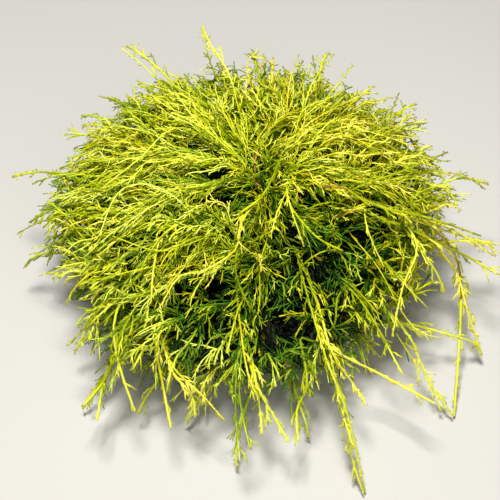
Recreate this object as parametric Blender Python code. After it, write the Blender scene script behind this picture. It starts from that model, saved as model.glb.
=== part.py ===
"""Gold mop sawara cypress: a young, mounded thread-leaf shrub on one short trunk.

A tapered trunk carries boughs in whorls. Each bough ends in a mass of drooping cords, and the
masses together make a low dome whose lowest cords hang almost to the ground.
Metres, +Z up, origin at the centre of the flat cut under the trunk. Bearings are degrees seen
from above, counted from +X (right) towards +Y (back), so that 270 is the front.
"""

import math
import random
from collections import namedtuple

import bmesh
import bpy
import numpy as np
from mathutils import Vector

SEED = 11

# Crown: an oval mound, measured to where the foliage closes.
CROWN_HALF_WIDTH = 0.222
CROWN_HALF_DEPTH = 0.204
CROWN_MIDDLE = Vector((-0.002, 0.012, 0.100))
CROWN_RISE = 0.150
SKIRT_DROP = 0.110

# Hollows: places where the crown is shallower than the mound. Each is told by its bearing and its
# angle from the vertical, by how far it spreads along each, and by its depth as a share of the
# mound. The crown's inside shows in the one high at the front, and at the foot, on the right, on
# the left and in front, the ground shows between the lowest cords.
Hollow = namedtuple("Hollow", "bearing polar half_turn half_tilt depth")
HOLLOWS = (
    Hollow(286, 50, 46, 24, 0.36),
    Hollow(326, 104, 36, 30, 0.24),
    Hollow(202, 104, 24, 28, 0.20),
    Hollow(262, 114, 30, 24, 0.14),
)

# Trunk: from the flat cut at the ground to its tip inside the crown.
TRUNK_HEIGHT = 0.118
TRUNK_NECK_HEIGHT = 0.015
TRUNK_FOOT_RADIUS = 0.0125
TRUNK_NECK_RADIUS = 0.0090
TRUNK_TIP_RADIUS = 0.0034
TRUNK_LEAN = Vector((0.024, -0.010, 0.0))
TRUNK_RINGS = 8
TRUNK_RING_CROWDING = 1.6
TRUNK_SIDES = 12
ROOT_LOBES = 5
ROOT_LOBE_DEPTH = 0.0030

# Boughs: four-sided limbs.
BOUGH_FOOT_RADIUS = 0.0036
BOUGH_TIP_RADIUS = 0.0030
BOUGH_SIDES = 4
BOUGH_STEPS = 4

# Cords of the foliage: three-sided, and thicker than life, because they are fewer. A cord tapers
# to one share of its first radius, its tip is sharper, and its root fits inside its parent.
STEM_RADIUS = 0.0031
WHIP_RADIUS = 0.0029
CORDLET_RADIUS = 0.0021
CORD_SIDES = 3
TAPER = 0.70
TIP_SHARE = 0.65
ROOT_SHARE = 0.48

# Gaps: at the joints between nodes, between the cords of two masses, and above the ground.
JOINT_GAP = 0.0003
CLEARANCE = 0.0006
GROUND_CLEARANCE = 0.0015
SAMPLE_STEP = 0.0015
WELD_DISTANCE = 0.00001

# A tier is a belt of the dome between two angles from the crown's vertical. Its boughs leave the
# trunk at its whorls' heights, rise at one angle, and end at one radius, height and angle. Its
# whips leave their stem between two shares of its length.
Tier = namedtuple("Tier", "belt whorls rise end_radius end_height end_rise forks whips")
TIERS = {
    "crown": Tier((8, 54), (), 84, 0.0, 0.0, 0, (0.10, 0.50), 19),
    "upper": Tier((26, 62), (0.074, 0.085, 0.096, 0.107), 50, 0.034, 0.142, 58, (0.04, 0.34), 7),
    "shoulder": Tier((56, 92), (0.041, 0.052, 0.063), 46, 0.058, 0.104, 40, (0.04, 0.36), 6),
    "skirt": Tier((88, 138), (0.019, 0.030), 30, 0.064, 0.056, 18, (0.04, 0.38), 4),
}

# Each mass: its tier, the bearing of its bough, and where the tip of its leading whip hangs.
Mass = namedtuple("Mass", "tier bearing tip_bearing tip_radius tip_height")
MASSES = {
    "crown": Mass("crown", 118, 150, 0.085, 0.262),
    "upper_right": Mass("upper", 8, 8, 0.168, 0.190),
    "upper_back_right": Mass("upper", 58, 46, 0.180, 0.204),
    "upper_back": Mass("upper", 108, 107, 0.162, 0.262),
    "upper_left": Mass("upper", 160, 165, 0.176, 0.186),
    "upper_front_left": Mass("upper", 212, 210, 0.166, 0.150),
    "upper_front": Mass("upper", 262, 262, 0.152, 0.150),
    "upper_front_right": Mass("upper", 314, 318, 0.160, 0.150),
    "shoulder_right": Mass("shoulder", 12, 13, 0.250, 0.138),
    "shoulder_right_back": Mass("shoulder", 41, 39, 0.224, 0.164),
    "shoulder_back_right": Mass("shoulder", 68, 66, 0.205, 0.192),
    "shoulder_back": Mass("shoulder", 93, 89, 0.187, 0.196),
    "shoulder_back_left": Mass("shoulder", 121, 122, 0.250, 0.177),
    "shoulder_left_back": Mass("shoulder", 150, 142, 0.226, 0.148),
    "shoulder_left": Mass("shoulder", 179, 164, 0.256, 0.130),
    "shoulder_left_front": Mass("shoulder", 208, 207, 0.200, 0.052),
    "shoulder_front_left": Mass("shoulder", 238, 234, 0.190, 0.036),
    "shoulder_front": Mass("shoulder", 268, 266, 0.202, 0.018),
    "shoulder_front_right": Mass("shoulder", 298, 296, 0.250, 0.012),
    "shoulder_right_front": Mass("shoulder", 338, 325, 0.250, 0.013),
    "skirt_right": Mass("skirt", 358, 1, 0.252, 0.088),
    "skirt_right_front": Mass("skirt", 321, 342, 0.250, 0.024),
    "skirt_front_right": Mass("skirt", 287, 289, 0.178, 0.014),
    "skirt_front_left": Mass("skirt", 251, 248, 0.166, 0.016),
    "skirt_left_front": Mass("skirt", 218, 219, 0.218, 0.014),
    "skirt_left": Mass("skirt", 184, 178, 0.238, 0.056),
    "skirt_left_back": Mass("skirt", 146, 148, 0.222, 0.036),
    "skirt_back_left": Mass("skirt", 106, 108, 0.214, 0.020),
    "skirt_back_right": Mass("skirt", 66, 68, 0.210, 0.022),
    "skirt_right_back": Mass("skirt", 28, 27, 0.228, 0.050),
}

# Growth: whips arch up and outward from the stem, and end near the dome's surface. Cords end level
# at the top of the dome, and turn steadily to hang where the dome turns under.
STEM_NECK = 0.005
LEADER_STEPS = 5
WHIP_STEPS = 4
WHIP_END_SHARES = (0.94, 1.06)
WHIP_OUTWARD = 0.5
WHIP_UPWARD = 0.5
BOUGH_REACH = 0.36
WHIP_REACH = 0.45
TOP_DRAPE = 15
FOOT_DRAPE = -80
FOOT_DRAPE_POLAR = 120
GOLDEN_TURN = 0.618034
PLACE_JITTER = 0.12

# Cordlets: short side cords, on alternate sides of their whip, beyond its bare root.
LEADER_CORDLETS = 2
WHIP_CORDLETS = 2
CORDLET_LENGTHS = (0.030, 0.048)
CORDLET_ANGLES = (26, 44)
CORDLET_SAG = 0.25
BARE_SHARE = 0.30
CORDLET_END_SHARE = 0.92
TRIES = 10

GOLD = (0.62, 0.60, 0.03, 1.0)
BARK = (0.17, 0.085, 0.04, 1.0)


def clear_scene():
    for old in list(bpy.data.objects):
        bpy.data.objects.remove(old, do_unlink=True)


def new_collection(name):
    made = bpy.data.collections.new(name)
    bpy.context.scene.collection.children.link(made)
    return made


def finish(name, colour, roughness):
    """A plain material: a Principled BSDF with its colour and roughness."""
    material = bpy.data.materials.new(name)
    material.use_nodes = True
    shader = material.node_tree.nodes["Principled BSDF"]
    shader.inputs["Base Color"].default_value = colour
    shader.inputs["Roughness"].default_value = roughness
    shader.inputs["Metallic"].default_value = 0.0
    return material


def compass(bearing):
    angle = math.radians(bearing)
    return Vector((math.cos(angle), math.sin(angle), 0.0))


def heading(bearing, rise):
    """A unit vector along a bearing that rises by an angle, both in degrees."""
    lift = math.radians(rise)
    return compass(bearing) * math.cos(lift) + Vector((0, 0, math.sin(lift)))


def hollow(bearing, polar):
    """How far the dome is pressed in at a place, as a share of its size."""
    depth = 0
    for place in HOLLOWS:
        turn = ((bearing - place.bearing + 180) % 360 - 180) / place.half_turn
        tilt = (polar - place.polar) / place.half_tilt
        depth += place.depth * math.exp(-turn * turn - tilt * tilt)
    return depth


def dome_point(bearing, polar, share):
    """A point at a bearing and an angle from the vertical, on the dome scaled about its middle."""
    angle = math.radians(polar)
    depth = CROWN_RISE if polar < 90 else SKIRT_DROP
    flat = compass(bearing)
    out = Vector((flat.x * CROWN_HALF_WIDTH, flat.y * CROWN_HALF_DEPTH, 0)) * math.sin(angle)
    radius = out + Vector((0, 0, depth * math.cos(angle)))
    return CROWN_MIDDLE + radius * (share * (1 - hollow(bearing, polar)))


def drape(bearing, polar):
    """The way a cord points where it ends, by its place on the dome."""
    return heading(bearing, TOP_DRAPE + (FOOT_DRAPE - TOP_DRAPE) * min(polar / FOOT_DRAPE_POLAR, 1))


def bow(start, start_way, end, end_way, steps, reach):
    """Points along a cubic curve that leaves and arrives along two given directions."""
    pull = (end - start).length * reach
    near = start + start_way * pull
    far = end - end_way * pull
    points = []
    for i in range(steps + 1):
        t = i / steps
        u = 1 - t
        points.append(start * u**3 + near * (3 * u * u * t) + far * (3 * u * t * t) + end * t**3)
    return points


def cord_radii(start, count, parent_radius=None):
    """Radii at a cord's points: an even taper, a sharper tip, and a root that its parent hides."""
    radii = [start * (1 - (1 - TAPER) * i / (count - 1)) for i in range(count)]
    radii[-1] *= TIP_SHARE
    if parent_radius:
        radii[0] = min(radii[0], parent_radius * ROOT_SHARE)
    return radii


class Cord:
    """One tapering stretch of limb or foliage: its centre line and its radius at each point."""

    def __init__(self, points, radii):
        self.points = points
        self.radii = radii

    def at(self, share):
        """The place, direction and radius at a share of the cord's length."""
        spans = [(q - p).length for p, q in zip(self.points, self.points[1:])]
        left = share * sum(spans)
        for i, span in enumerate(spans):
            if left <= span:
                break
            left -= span
        p, q = self.points[i:i + 2]
        r, s = self.radii[i:i + 2]
        part = left / span
        return p.lerp(q, part), (q - p).normalized(), r + (s - r) * part

    def samples(self):
        """Close points along the cord with its radius at each, as rows x, y, z, radius."""
        rows = []
        steps = zip(self.points, self.points[1:], self.radii, self.radii[1:])
        for p, q, r, s in steps:
            count = max(1, math.ceil((q - p).length / SAMPLE_STEP))
            for i in range(count):
                rows.append((*p.lerp(q, i / count), r + (s - r) * i / count))
        rows.append((*self.points[-1], self.radii[-1]))
        return np.array(rows)


class Room:
    """The space that every node's cords have taken, so that the nodes keep apart."""

    def __init__(self):
        self.rows = np.zeros((0, 4))
        self.owners = np.zeros(0, int)
        self.names = []

    def number(self, name):
        if name not in self.names:
            self.names.append(name)
        return self.names.index(name)

    def take(self, name, cord):
        rows = cord.samples()
        self.rows = np.vstack([self.rows, rows])
        self.owners = np.append(self.owners, np.full(len(rows), self.number(name)))

    def is_clear(self, name, cord):
        """True if a cord stays above the ground and clear of every other node."""
        rows = cord.samples()
        if (rows[:, 2] - rows[:, 3]).min() < GROUND_CLEARANCE:
            return False
        others = self.rows[self.owners != self.number(name)]
        margin = 2 * BOUGH_FOOT_RADIUS + CLEARANCE
        low = rows[:, :3].min(0) - margin
        high = rows[:, :3].max(0) + margin
        near = others[((others[:, :3] > low) & (others[:, :3] < high)).all(1)]
        if not len(near):
            return True
        gaps = np.linalg.norm(rows[:, None, :3] - near[None, :, :3], axis=2)
        return bool((gaps > rows[:, None, 3] + near[None, :, 3] + CLEARANCE).all())


def trunk_axis(height):
    """The middle of the trunk at a height, or the place above its tip."""
    share = min(height / TRUNK_HEIGHT, 1)
    return TRUNK_LEAN * (share * share) + Vector((0, 0, height))


def trunk_points():
    """Points up the trunk's centre line, closer together near its foot."""
    shares = [(i / TRUNK_RINGS) ** TRUNK_RING_CROWDING for i in range(TRUNK_RINGS + 1)]
    return [trunk_axis(TRUNK_HEIGHT * share) for share in shares]


def trunk_radius(height):
    if height < TRUNK_NECK_HEIGHT:
        flare = (1 - height / TRUNK_NECK_HEIGHT) ** 2
        return TRUNK_NECK_RADIUS + (TRUNK_FOOT_RADIUS - TRUNK_NECK_RADIUS) * flare
    share = (height - TRUNK_NECK_HEIGHT) / (TRUNK_HEIGHT - TRUNK_NECK_HEIGHT)
    return TRUNK_NECK_RADIUS + (TRUNK_TIP_RADIUS - TRUNK_NECK_RADIUS) * share


def tier_members(tier):
    """The names of a tier's masses, in order of bearing."""
    names = [name for name, mass in MASSES.items() if mass.tier == tier]
    return sorted(names, key=lambda name: MASSES[name].bearing)


def belt_of(name):
    """The two bearings between which a mass's part of its belt lies."""
    members = tier_members(MASSES[name].tier)
    if len(members) == 1:
        return 0, 360
    place = members.index(name)
    here = MASSES[name].bearing
    before = (here - MASSES[members[place - 1]].bearing) % 360
    after = (MASSES[members[(place + 1) % len(members)]].bearing - here) % 360
    return here - before / 2, here + after / 2


def bough_course(name):
    """The centre line of a mass's bough, from inside the trunk to the mass."""
    mass = MASSES[name]
    tier = TIERS[mass.tier]
    place = tier_members(mass.tier).index(name)
    start = trunk_axis(tier.whorls[place % len(tier.whorls)])
    end = trunk_axis(tier.end_height) + compass(mass.bearing) * tier.end_radius
    leave = heading(mass.bearing, tier.rise)
    arrive = heading(mass.bearing, tier.end_rise)
    return bow(start, leave, end, arrive, BOUGH_STEPS, BOUGH_REACH)


def bough(name):
    """A mass's bough: one tapering limb."""
    points = bough_course(name)
    taper = (BOUGH_TIP_RADIUS - BOUGH_FOOT_RADIUS) / (len(points) - 1)
    return Cord(points, [BOUGH_FOOT_RADIUS + taper * i for i in range(len(points))])


def leader(name):
    """A mass's stem and leading whip, from just past its bough's tip to its furthest tip."""
    mass = MASSES[name]
    tier = TIERS[mass.tier]
    carrier = bough_course(name) if tier.whorls else trunk_points()
    way = (carrier[-1] - carrier[-2]).normalized()
    start = carrier[-1] + way * JOINT_GAP
    neck = start + way * STEM_NECK
    tip = compass(mass.tip_bearing) * mass.tip_radius + Vector((0, 0, mass.tip_height))
    arrive = drape(mass.tip_bearing, sum(tier.belt) / 2)
    points = [start] + bow(neck, way, tip, arrive, LEADER_STEPS, BOUGH_REACH)
    return Cord(points, cord_radii(STEM_RADIUS, len(points)))


def whip(name, number, stem, rng):
    """A whip that leaves the stem for a place of its own in the mass's part of the belt."""
    tier = TIERS[MASSES[name].tier]
    low, high = belt_of(name)
    top, bottom = tier.belt
    across = (number * GOLDEN_TURN + rng.uniform(-PLACE_JITTER, PLACE_JITTER)) % 1
    bearing = low + (high - low) * across
    polar = top + (bottom - top) * (number + rng.random()) / tier.whips
    end = dome_point(bearing, polar, rng.uniform(*WHIP_END_SHARES))
    start, way, stem_radius = stem.at(rng.uniform(*tier.forks))
    leave = (way + compass(bearing) * WHIP_OUTWARD + Vector((0, 0, WHIP_UPWARD))).normalized()
    points = bow(start, leave, end, drape(bearing, polar), WHIP_STEPS, WHIP_REACH)
    return Cord(points, cord_radii(WHIP_RADIUS, len(points), stem_radius))


def cordlet(place, places, parent, rng):
    """A short straight side cord that leaves its whip at an angle and sags a little."""
    spread = (place + rng.random()) / places
    start, way, parent_radius = parent.at(BARE_SHARE + (CORDLET_END_SHARE - BARE_SHARE) * spread)
    across = way.cross(Vector((0, 0, 1))).normalized() * (1 if place % 2 else -1)
    across += way.cross(across) * rng.uniform(-0.5, 0.5)
    angle = math.radians(rng.uniform(*CORDLET_ANGLES))
    leave = way * math.cos(angle) + across.normalized() * math.sin(angle)
    sagging = (leave + Vector((0, 0, -CORDLET_SAG))).normalized()
    end = start + sagging * rng.uniform(*CORDLET_LENGTHS)
    return Cord([start, end], cord_radii(CORDLET_RADIUS, 2, parent_radius))


def add_clear(room, name, cords, make):
    """Adds what a rule makes to a mass, if it is clear of every other node within a few tries."""
    for _ in range(TRIES):
        made = make()
        if room.is_clear(name, made):
            room.take(name, made)
            cords.append(made)
            return


def grow():
    """Every node's cords. A cord that would touch another node is skipped."""
    room = Room()
    rng = random.Random(SEED)
    room.take("trunk", Cord(trunk_points(), [trunk_radius(p.z) for p in trunk_points()]))
    boughs = {name: bough(name) for name in MASSES if TIERS[MASSES[name].tier].whorls}
    masses = {name: [leader(name)] for name in MASSES}
    for name, limb in boughs.items():
        room.take(f"bough_{name}", limb)
    for name, cords in masses.items():
        room.take(name, cords[0])
    for number in range(max(tier.whips for tier in TIERS.values())):
        for name, cords in masses.items():
            if number < TIERS[MASSES[name].tier].whips:
                add_clear(room, name, cords, lambda: whip(name, number, cords[0], rng))
    parents = {name: list(cords) for name, cords in masses.items()}
    for name, cords in masses.items():
        for parent in parents[name]:
            places = LEADER_CORDLETS if parent is cords[0] else WHIP_CORDLETS
            for place in range(places):
                add_clear(room, name, cords, lambda: cordlet(place, places, parent, rng))
    return boughs, masses


def section(sides, home):
    """A closed ring of radius 1, from which tubes take their cross-section."""
    curve = bpy.data.curves.new(f"section_{sides}", "CURVE")
    curve.dimensions = "2D"
    spline = curve.splines.new("POLY")
    spline.points.add(sides - 1)
    for i, point in enumerate(spline.points):
        angle = 2 * math.pi * i / sides
        point.co = (math.cos(angle), math.sin(angle), 0, 1)
    spline.use_cyclic_u = True
    guide = bpy.data.objects.new(curve.name, curve)
    guide.hide_render = True
    guide.display_type = "WIRE"
    home.objects.link(guide)
    return guide


def tube(name, cord, ring, home):
    """A capped tube along a cord's centre line, made a mesh with its caps welded on."""
    curve = bpy.data.curves.new(name, "CURVE")
    curve.dimensions = "3D"
    curve.bevel_mode = "OBJECT"
    curve.bevel_object = ring
    curve.use_fill_caps = True
    spline = curve.splines.new("POLY")
    spline.points.add(len(cord.points) - 1)
    for point, place, radius in zip(spline.points, cord.points, cord.radii):
        point.co = (*place, 1)
        point.radius = radius
    drawn = bpy.data.objects.new(name, curve)
    home.objects.link(drawn)
    bpy.context.view_layer.update()
    seen = drawn.evaluated_get(bpy.context.evaluated_depsgraph_get())
    mesh = bpy.data.meshes.new_from_object(seen)
    bpy.data.objects.remove(drawn)
    bpy.data.curves.remove(curve)
    mesh.materials.clear()
    welded = bmesh.new()
    welded.from_mesh(mesh)
    bmesh.ops.remove_doubles(welded, verts=welded.verts, dist=WELD_DISTANCE)
    bmesh.ops.recalc_face_normals(welded, faces=welded.faces)
    welded.to_mesh(mesh)
    welded.free()
    solid = bpy.data.objects.new(name, mesh)
    home.objects.link(solid)
    return solid


def evaluated_mesh(solid):
    """A new mesh of what an object's modifiers make of it."""
    bpy.context.view_layer.update()
    seen = solid.evaluated_get(bpy.context.evaluated_depsgraph_get())
    made = bpy.data.meshes.new_from_object(seen)
    made.materials.clear()
    return made


def keep_largest_body(mesh):
    """Drops every loose scrap, and the skin of every sealed hollow, from a joined mesh."""
    walk = bmesh.new()
    walk.from_mesh(mesh)
    left = set(walk.verts)
    bodies = []
    while left:
        ahead = [left.pop()]
        body = list(ahead)
        while ahead:
            here = ahead.pop()
            fresh = [edge.other_vert(here) for edge in here.link_edges]
            fresh = [vertex for vertex in fresh if vertex in left]
            left.difference_update(fresh)
            ahead += fresh
            body += fresh
        bodies.append(body)
    bodies.sort(key=len)
    scraps = [vertex for body in bodies[:-1] for vertex in body]
    bmesh.ops.delete(walk, geom=scraps, context="VERTS")
    walk.to_mesh(mesh)
    walk.free()


def build_trunk(name, ring, home, swell=0.0):
    """The trunk, from its flat cut to its tip, with low root lobes round its foot."""
    points = trunk_points()
    trunk = tube(name, Cord(points, [trunk_radius(p.z) + swell for p in points]), ring, home)
    for vertex in trunk.data.vertices:
        place = vertex.co
        if place.z < JOINT_GAP:
            place.z = 0
        if place.z < TRUNK_NECK_HEIGHT:
            flare = (1 - place.z / TRUNK_NECK_HEIGHT) ** 2
            lobe = 0.5 + 0.5 * math.cos(ROOT_LOBES * math.atan2(place.y, place.x))
            out = Vector((place.x, place.y, 0)).normalized()
            vertex.co = place + out * (ROOT_LOBE_DEPTH * flare * lobe)
    return trunk


def build_bough(name, cord, ring, home, cutter):
    """A bough whose foot is cut to the trunk's surface, a joint's gap clear of it."""
    limb = tube(name, cord, ring, home)
    cut = limb.modifiers.new("seat", "BOOLEAN")
    cut.operation = "DIFFERENCE"
    cut.object = cutter
    cut.solver = "MANIFOLD"
    limb.data = evaluated_mesh(limb)
    limb.modifiers.clear()
    return limb


def build_mass(name, cords, ring, home):
    """One mass: its cords as separate tubes, joined to the stem by one union."""
    twigs = new_collection(f"{name}_twigs")
    stem = tube(name, cords[0], ring, home)
    for number, cord in enumerate(cords[1:]):
        tube(f"{name}_twig_{number}", cord, ring, twigs)
    union = stem.modifiers.new("join", "BOOLEAN")
    union.operation = "UNION"
    union.operand_type = "COLLECTION"
    union.collection = twigs
    stem.data = evaluated_mesh(stem)
    stem.modifiers.clear()
    keep_largest_body(stem.data)
    for twig in list(twigs.objects):
        bpy.data.objects.remove(twig)
    bpy.data.collections.remove(twigs)
    return stem


def main():
    clear_scene()
    shrub = new_collection("gold_mop_sawara_cypress")
    guides = new_collection("guides")
    rings = {sides: section(sides, guides) for sides in (CORD_SIDES, BOUGH_SIDES, TRUNK_SIDES)}
    gold = finish("gold_foliage", GOLD, 0.55)
    bark = finish("red_brown_bark", BARK, 0.85)
    boughs, masses = grow()
    build_trunk("trunk", rings[TRUNK_SIDES], shrub).data.materials.append(bark)
    cutter = build_trunk("trunk_seat", rings[TRUNK_SIDES], guides, JOINT_GAP)
    cutter.hide_render = True
    cutter.display_type = "WIRE"
    for name, cord in boughs.items():
        limb = build_bough(f"bough_{name}", cord, rings[BOUGH_SIDES], shrub, cutter)
        limb.data.materials.append(bark)
    for name, cords in masses.items():
        mass = build_mass(f"foliage_{name}", cords, rings[CORD_SIDES], shrub)
        mass.data.materials.append(gold)


main()
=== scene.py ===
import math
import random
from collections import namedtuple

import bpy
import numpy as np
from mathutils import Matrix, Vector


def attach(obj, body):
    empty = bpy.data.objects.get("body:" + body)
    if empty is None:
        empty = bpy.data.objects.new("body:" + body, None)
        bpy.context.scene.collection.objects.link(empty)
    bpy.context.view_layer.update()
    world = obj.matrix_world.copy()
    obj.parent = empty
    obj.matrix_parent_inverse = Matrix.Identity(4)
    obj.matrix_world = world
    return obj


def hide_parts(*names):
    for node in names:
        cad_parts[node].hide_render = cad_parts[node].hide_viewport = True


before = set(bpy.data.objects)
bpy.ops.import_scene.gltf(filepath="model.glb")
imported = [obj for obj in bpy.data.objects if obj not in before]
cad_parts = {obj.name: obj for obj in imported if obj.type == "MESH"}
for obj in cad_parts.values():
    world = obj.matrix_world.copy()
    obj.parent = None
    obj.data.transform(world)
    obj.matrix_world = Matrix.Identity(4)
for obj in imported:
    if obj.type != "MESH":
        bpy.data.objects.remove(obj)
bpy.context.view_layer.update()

# The looks of a gold mop sawara cypress. The trunk and boughs get a bark with relief. Each mass
# of foliage is grown again by the rule that made its solid, and then carried on to fine cords:
# whips that branch from the mass's main ones, cordlets on both sides of each whip, and short
# sprigs on the cordlets. Metres, +Z up, origin at the flat cut under the trunk. Bearings are
# degrees seen from above, from +X (right) towards +Y (back), so that 270 is the front.

SEED = 11

# Crown: an oval mound, measured to where the foliage closes.
CROWN_HALF_WIDTH = 0.222
CROWN_HALF_DEPTH = 0.204
CROWN_MIDDLE = Vector((-0.002, 0.012, 0.100))
CROWN_RISE = 0.150
SKIRT_DROP = 0.110

# Hollows: places where the crown is shallower than the mound. Each is told by its bearing and its
# angle from the vertical, by how far it spreads along each, and by its depth as a share of the
# mound. The crown's inside shows in the one high at the front, and at the foot, on the right, on
# the left and in front, the ground shows between the lowest cords.
Hollow = namedtuple("Hollow", "bearing polar half_turn half_tilt depth")
HOLLOWS = (
    Hollow(286, 50, 46, 24, 0.36),
    Hollow(326, 104, 36, 30, 0.24),
    Hollow(202, 104, 24, 28, 0.20),
    Hollow(262, 114, 30, 24, 0.14),
)

# Trunk: from the flat cut at the ground to its tip inside the crown.
TRUNK_HEIGHT = 0.118
TRUNK_NECK_HEIGHT = 0.015
TRUNK_FOOT_RADIUS = 0.0125
TRUNK_NECK_RADIUS = 0.0090
TRUNK_TIP_RADIUS = 0.0034
TRUNK_LEAN = Vector((0.024, -0.010, 0.0))
TRUNK_RINGS = 8
TRUNK_RING_CROWDING = 1.6
ROOT_LOBES = 5
ROOT_LOBE_DEPTH = 0.0030

# Boughs and the main cords of the solids, which the finer cords grow on from.
BOUGH_FOOT_RADIUS = 0.0036
BOUGH_TIP_RADIUS = 0.0030
BOUGH_STEPS = 4
STEM_RADIUS = 0.0031
WHIP_RADIUS = 0.0029
TAPER = 0.70
TIP_SHARE = 0.65
ROOT_SHARE = 0.48
JOINT_GAP = 0.0003
CLEARANCE = 0.0006
GROUND_CLEARANCE = 0.0015
SAMPLE_STEP = 0.0015

# A tier is a belt of the dome between two angles from the crown's vertical. Its boughs leave the
# trunk at its whorls' heights, rise at one angle, and end at one radius, height and angle. Its
# whips leave their stem between two shares of its length.
Tier = namedtuple("Tier", "belt whorls rise end_radius end_height end_rise forks whips")
TIERS = {
    "crown": Tier((8, 54), (), 84, 0.0, 0.0, 0, (0.10, 0.50), 19),
    "upper": Tier((26, 62), (0.074, 0.085, 0.096, 0.107), 50, 0.034, 0.142, 58, (0.04, 0.34), 7),
    "shoulder": Tier((56, 92), (0.041, 0.052, 0.063), 46, 0.058, 0.104, 40, (0.04, 0.36), 6),
    "skirt": Tier((88, 138), (0.019, 0.030), 30, 0.064, 0.056, 18, (0.04, 0.38), 4),
}

# Each mass: its tier, the bearing of its bough, and where the tip of its leading whip hangs.
Mass = namedtuple("Mass", "tier bearing tip_bearing tip_radius tip_height")
MASSES = {
    "crown": Mass("crown", 118, 150, 0.085, 0.262),
    "upper_right": Mass("upper", 8, 8, 0.168, 0.190),
    "upper_back_right": Mass("upper", 58, 46, 0.180, 0.204),
    "upper_back": Mass("upper", 108, 107, 0.162, 0.262),
    "upper_left": Mass("upper", 160, 165, 0.176, 0.186),
    "upper_front_left": Mass("upper", 212, 210, 0.166, 0.150),
    "upper_front": Mass("upper", 262, 262, 0.152, 0.150),
    "upper_front_right": Mass("upper", 314, 318, 0.160, 0.150),
    "shoulder_right": Mass("shoulder", 12, 13, 0.250, 0.138),
    "shoulder_right_back": Mass("shoulder", 41, 39, 0.224, 0.164),
    "shoulder_back_right": Mass("shoulder", 68, 66, 0.205, 0.192),
    "shoulder_back": Mass("shoulder", 93, 89, 0.187, 0.196),
    "shoulder_back_left": Mass("shoulder", 121, 122, 0.250, 0.177),
    "shoulder_left_back": Mass("shoulder", 150, 142, 0.226, 0.148),
    "shoulder_left": Mass("shoulder", 179, 164, 0.256, 0.130),
    "shoulder_left_front": Mass("shoulder", 208, 207, 0.200, 0.052),
    "shoulder_front_left": Mass("shoulder", 238, 234, 0.190, 0.036),
    "shoulder_front": Mass("shoulder", 268, 266, 0.202, 0.018),
    "shoulder_front_right": Mass("shoulder", 298, 296, 0.250, 0.012),
    "shoulder_right_front": Mass("shoulder", 338, 325, 0.250, 0.013),
    "skirt_right": Mass("skirt", 358, 1, 0.252, 0.088),
    "skirt_right_front": Mass("skirt", 321, 342, 0.250, 0.024),
    "skirt_front_right": Mass("skirt", 287, 289, 0.178, 0.014),
    "skirt_front_left": Mass("skirt", 251, 248, 0.166, 0.016),
    "skirt_left_front": Mass("skirt", 218, 219, 0.218, 0.014),
    "skirt_left": Mass("skirt", 184, 178, 0.238, 0.056),
    "skirt_left_back": Mass("skirt", 146, 148, 0.222, 0.036),
    "skirt_back_left": Mass("skirt", 106, 108, 0.214, 0.020),
    "skirt_back_right": Mass("skirt", 66, 68, 0.210, 0.022),
    "skirt_right_back": Mass("skirt", 28, 27, 0.228, 0.050),
}

# Growth of the main whips.
STEM_NECK = 0.005
LEADER_STEPS = 5
WHIP_STEPS = 4
WHIP_END_SHARES = (0.94, 1.06)
WHIP_OUTWARD = 0.5
WHIP_UPWARD = 0.5
BOUGH_REACH = 0.36
WHIP_REACH = 0.45
TOP_DRAPE = 15
FOOT_DRAPE = -80
FOOT_DRAPE_POLAR = 120
GOLDEN_TURN = 0.618034
PLACE_JITTER = 0.12
TRIES = 10

# Places where only the longest tips reach the dome, and the fine whips stop short of it.
THIN_PLACES = (
    Hollow(50, 60, 24, 30, 0.10),
    Hollow(142, 62, 22, 28, 0.10),
    Hollow(92, 58, 20, 26, 0.20),
    Hollow(30, 72, 20, 24, 0.07),
    Hollow(158, 76, 18, 24, 0.12),
    Hollow(222, 104, 30, 28, 0.12),
    Hollow(282, 108, 20, 20, 0.16),
    Hollow(332, 96, 22, 26, 0.12),
    Hollow(348, 102, 20, 22, 0.16),
)

# Places where some of the green whips are left out, and the dark inside shows, and where some of
# the golden whips are green. The depth is the share of them.
SPARSE_PLACES = (
    Hollow(284, 84, 46, 32, 0.84),
    Hollow(318, 44, 24, 16, 0.92),
    Hollow(215, 98, 30, 24, 0.40),
    Hollow(262, 58, 30, 16, 0.45),
    Hollow(268, 114, 40, 18, 0.50),
)
GREENED_SHARE = 0.95

# Fine whips fork from the main ones: outer ones end close to the dome, and inner ones, which are
# greener and painted darker for the shade inside the crown, inside it. They fill their mass's part
# of the belt and a little of its neighbours'.
FINE_STEPS = 12
OUTER_WHIPS = {"crown": 280, "upper": 74, "shoulder": 50, "skirt": 28}
INNER_WHIPS = {"crown": 54, "upper": 26, "shoulder": 26, "skirt": 24}
BELT_OVERLAP = 0.12
POLAR_OVERLAP = 6
END_SHARES = {"golden": (0.89, 1.10), "green": (0.72, 0.94), "inner": (0.26, 0.80)}
FORK_LATEST = 0.80
FORK_GAP_COST = 4.0
FORK_EARLIEST = 0.12
INNER_FORK_LATEST = 0.40
FORK_REACH = 0.42
FORK_OPENING = 0.45
END_TURN = 16
END_TILT = 14
WAVER = 0.0030
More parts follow.
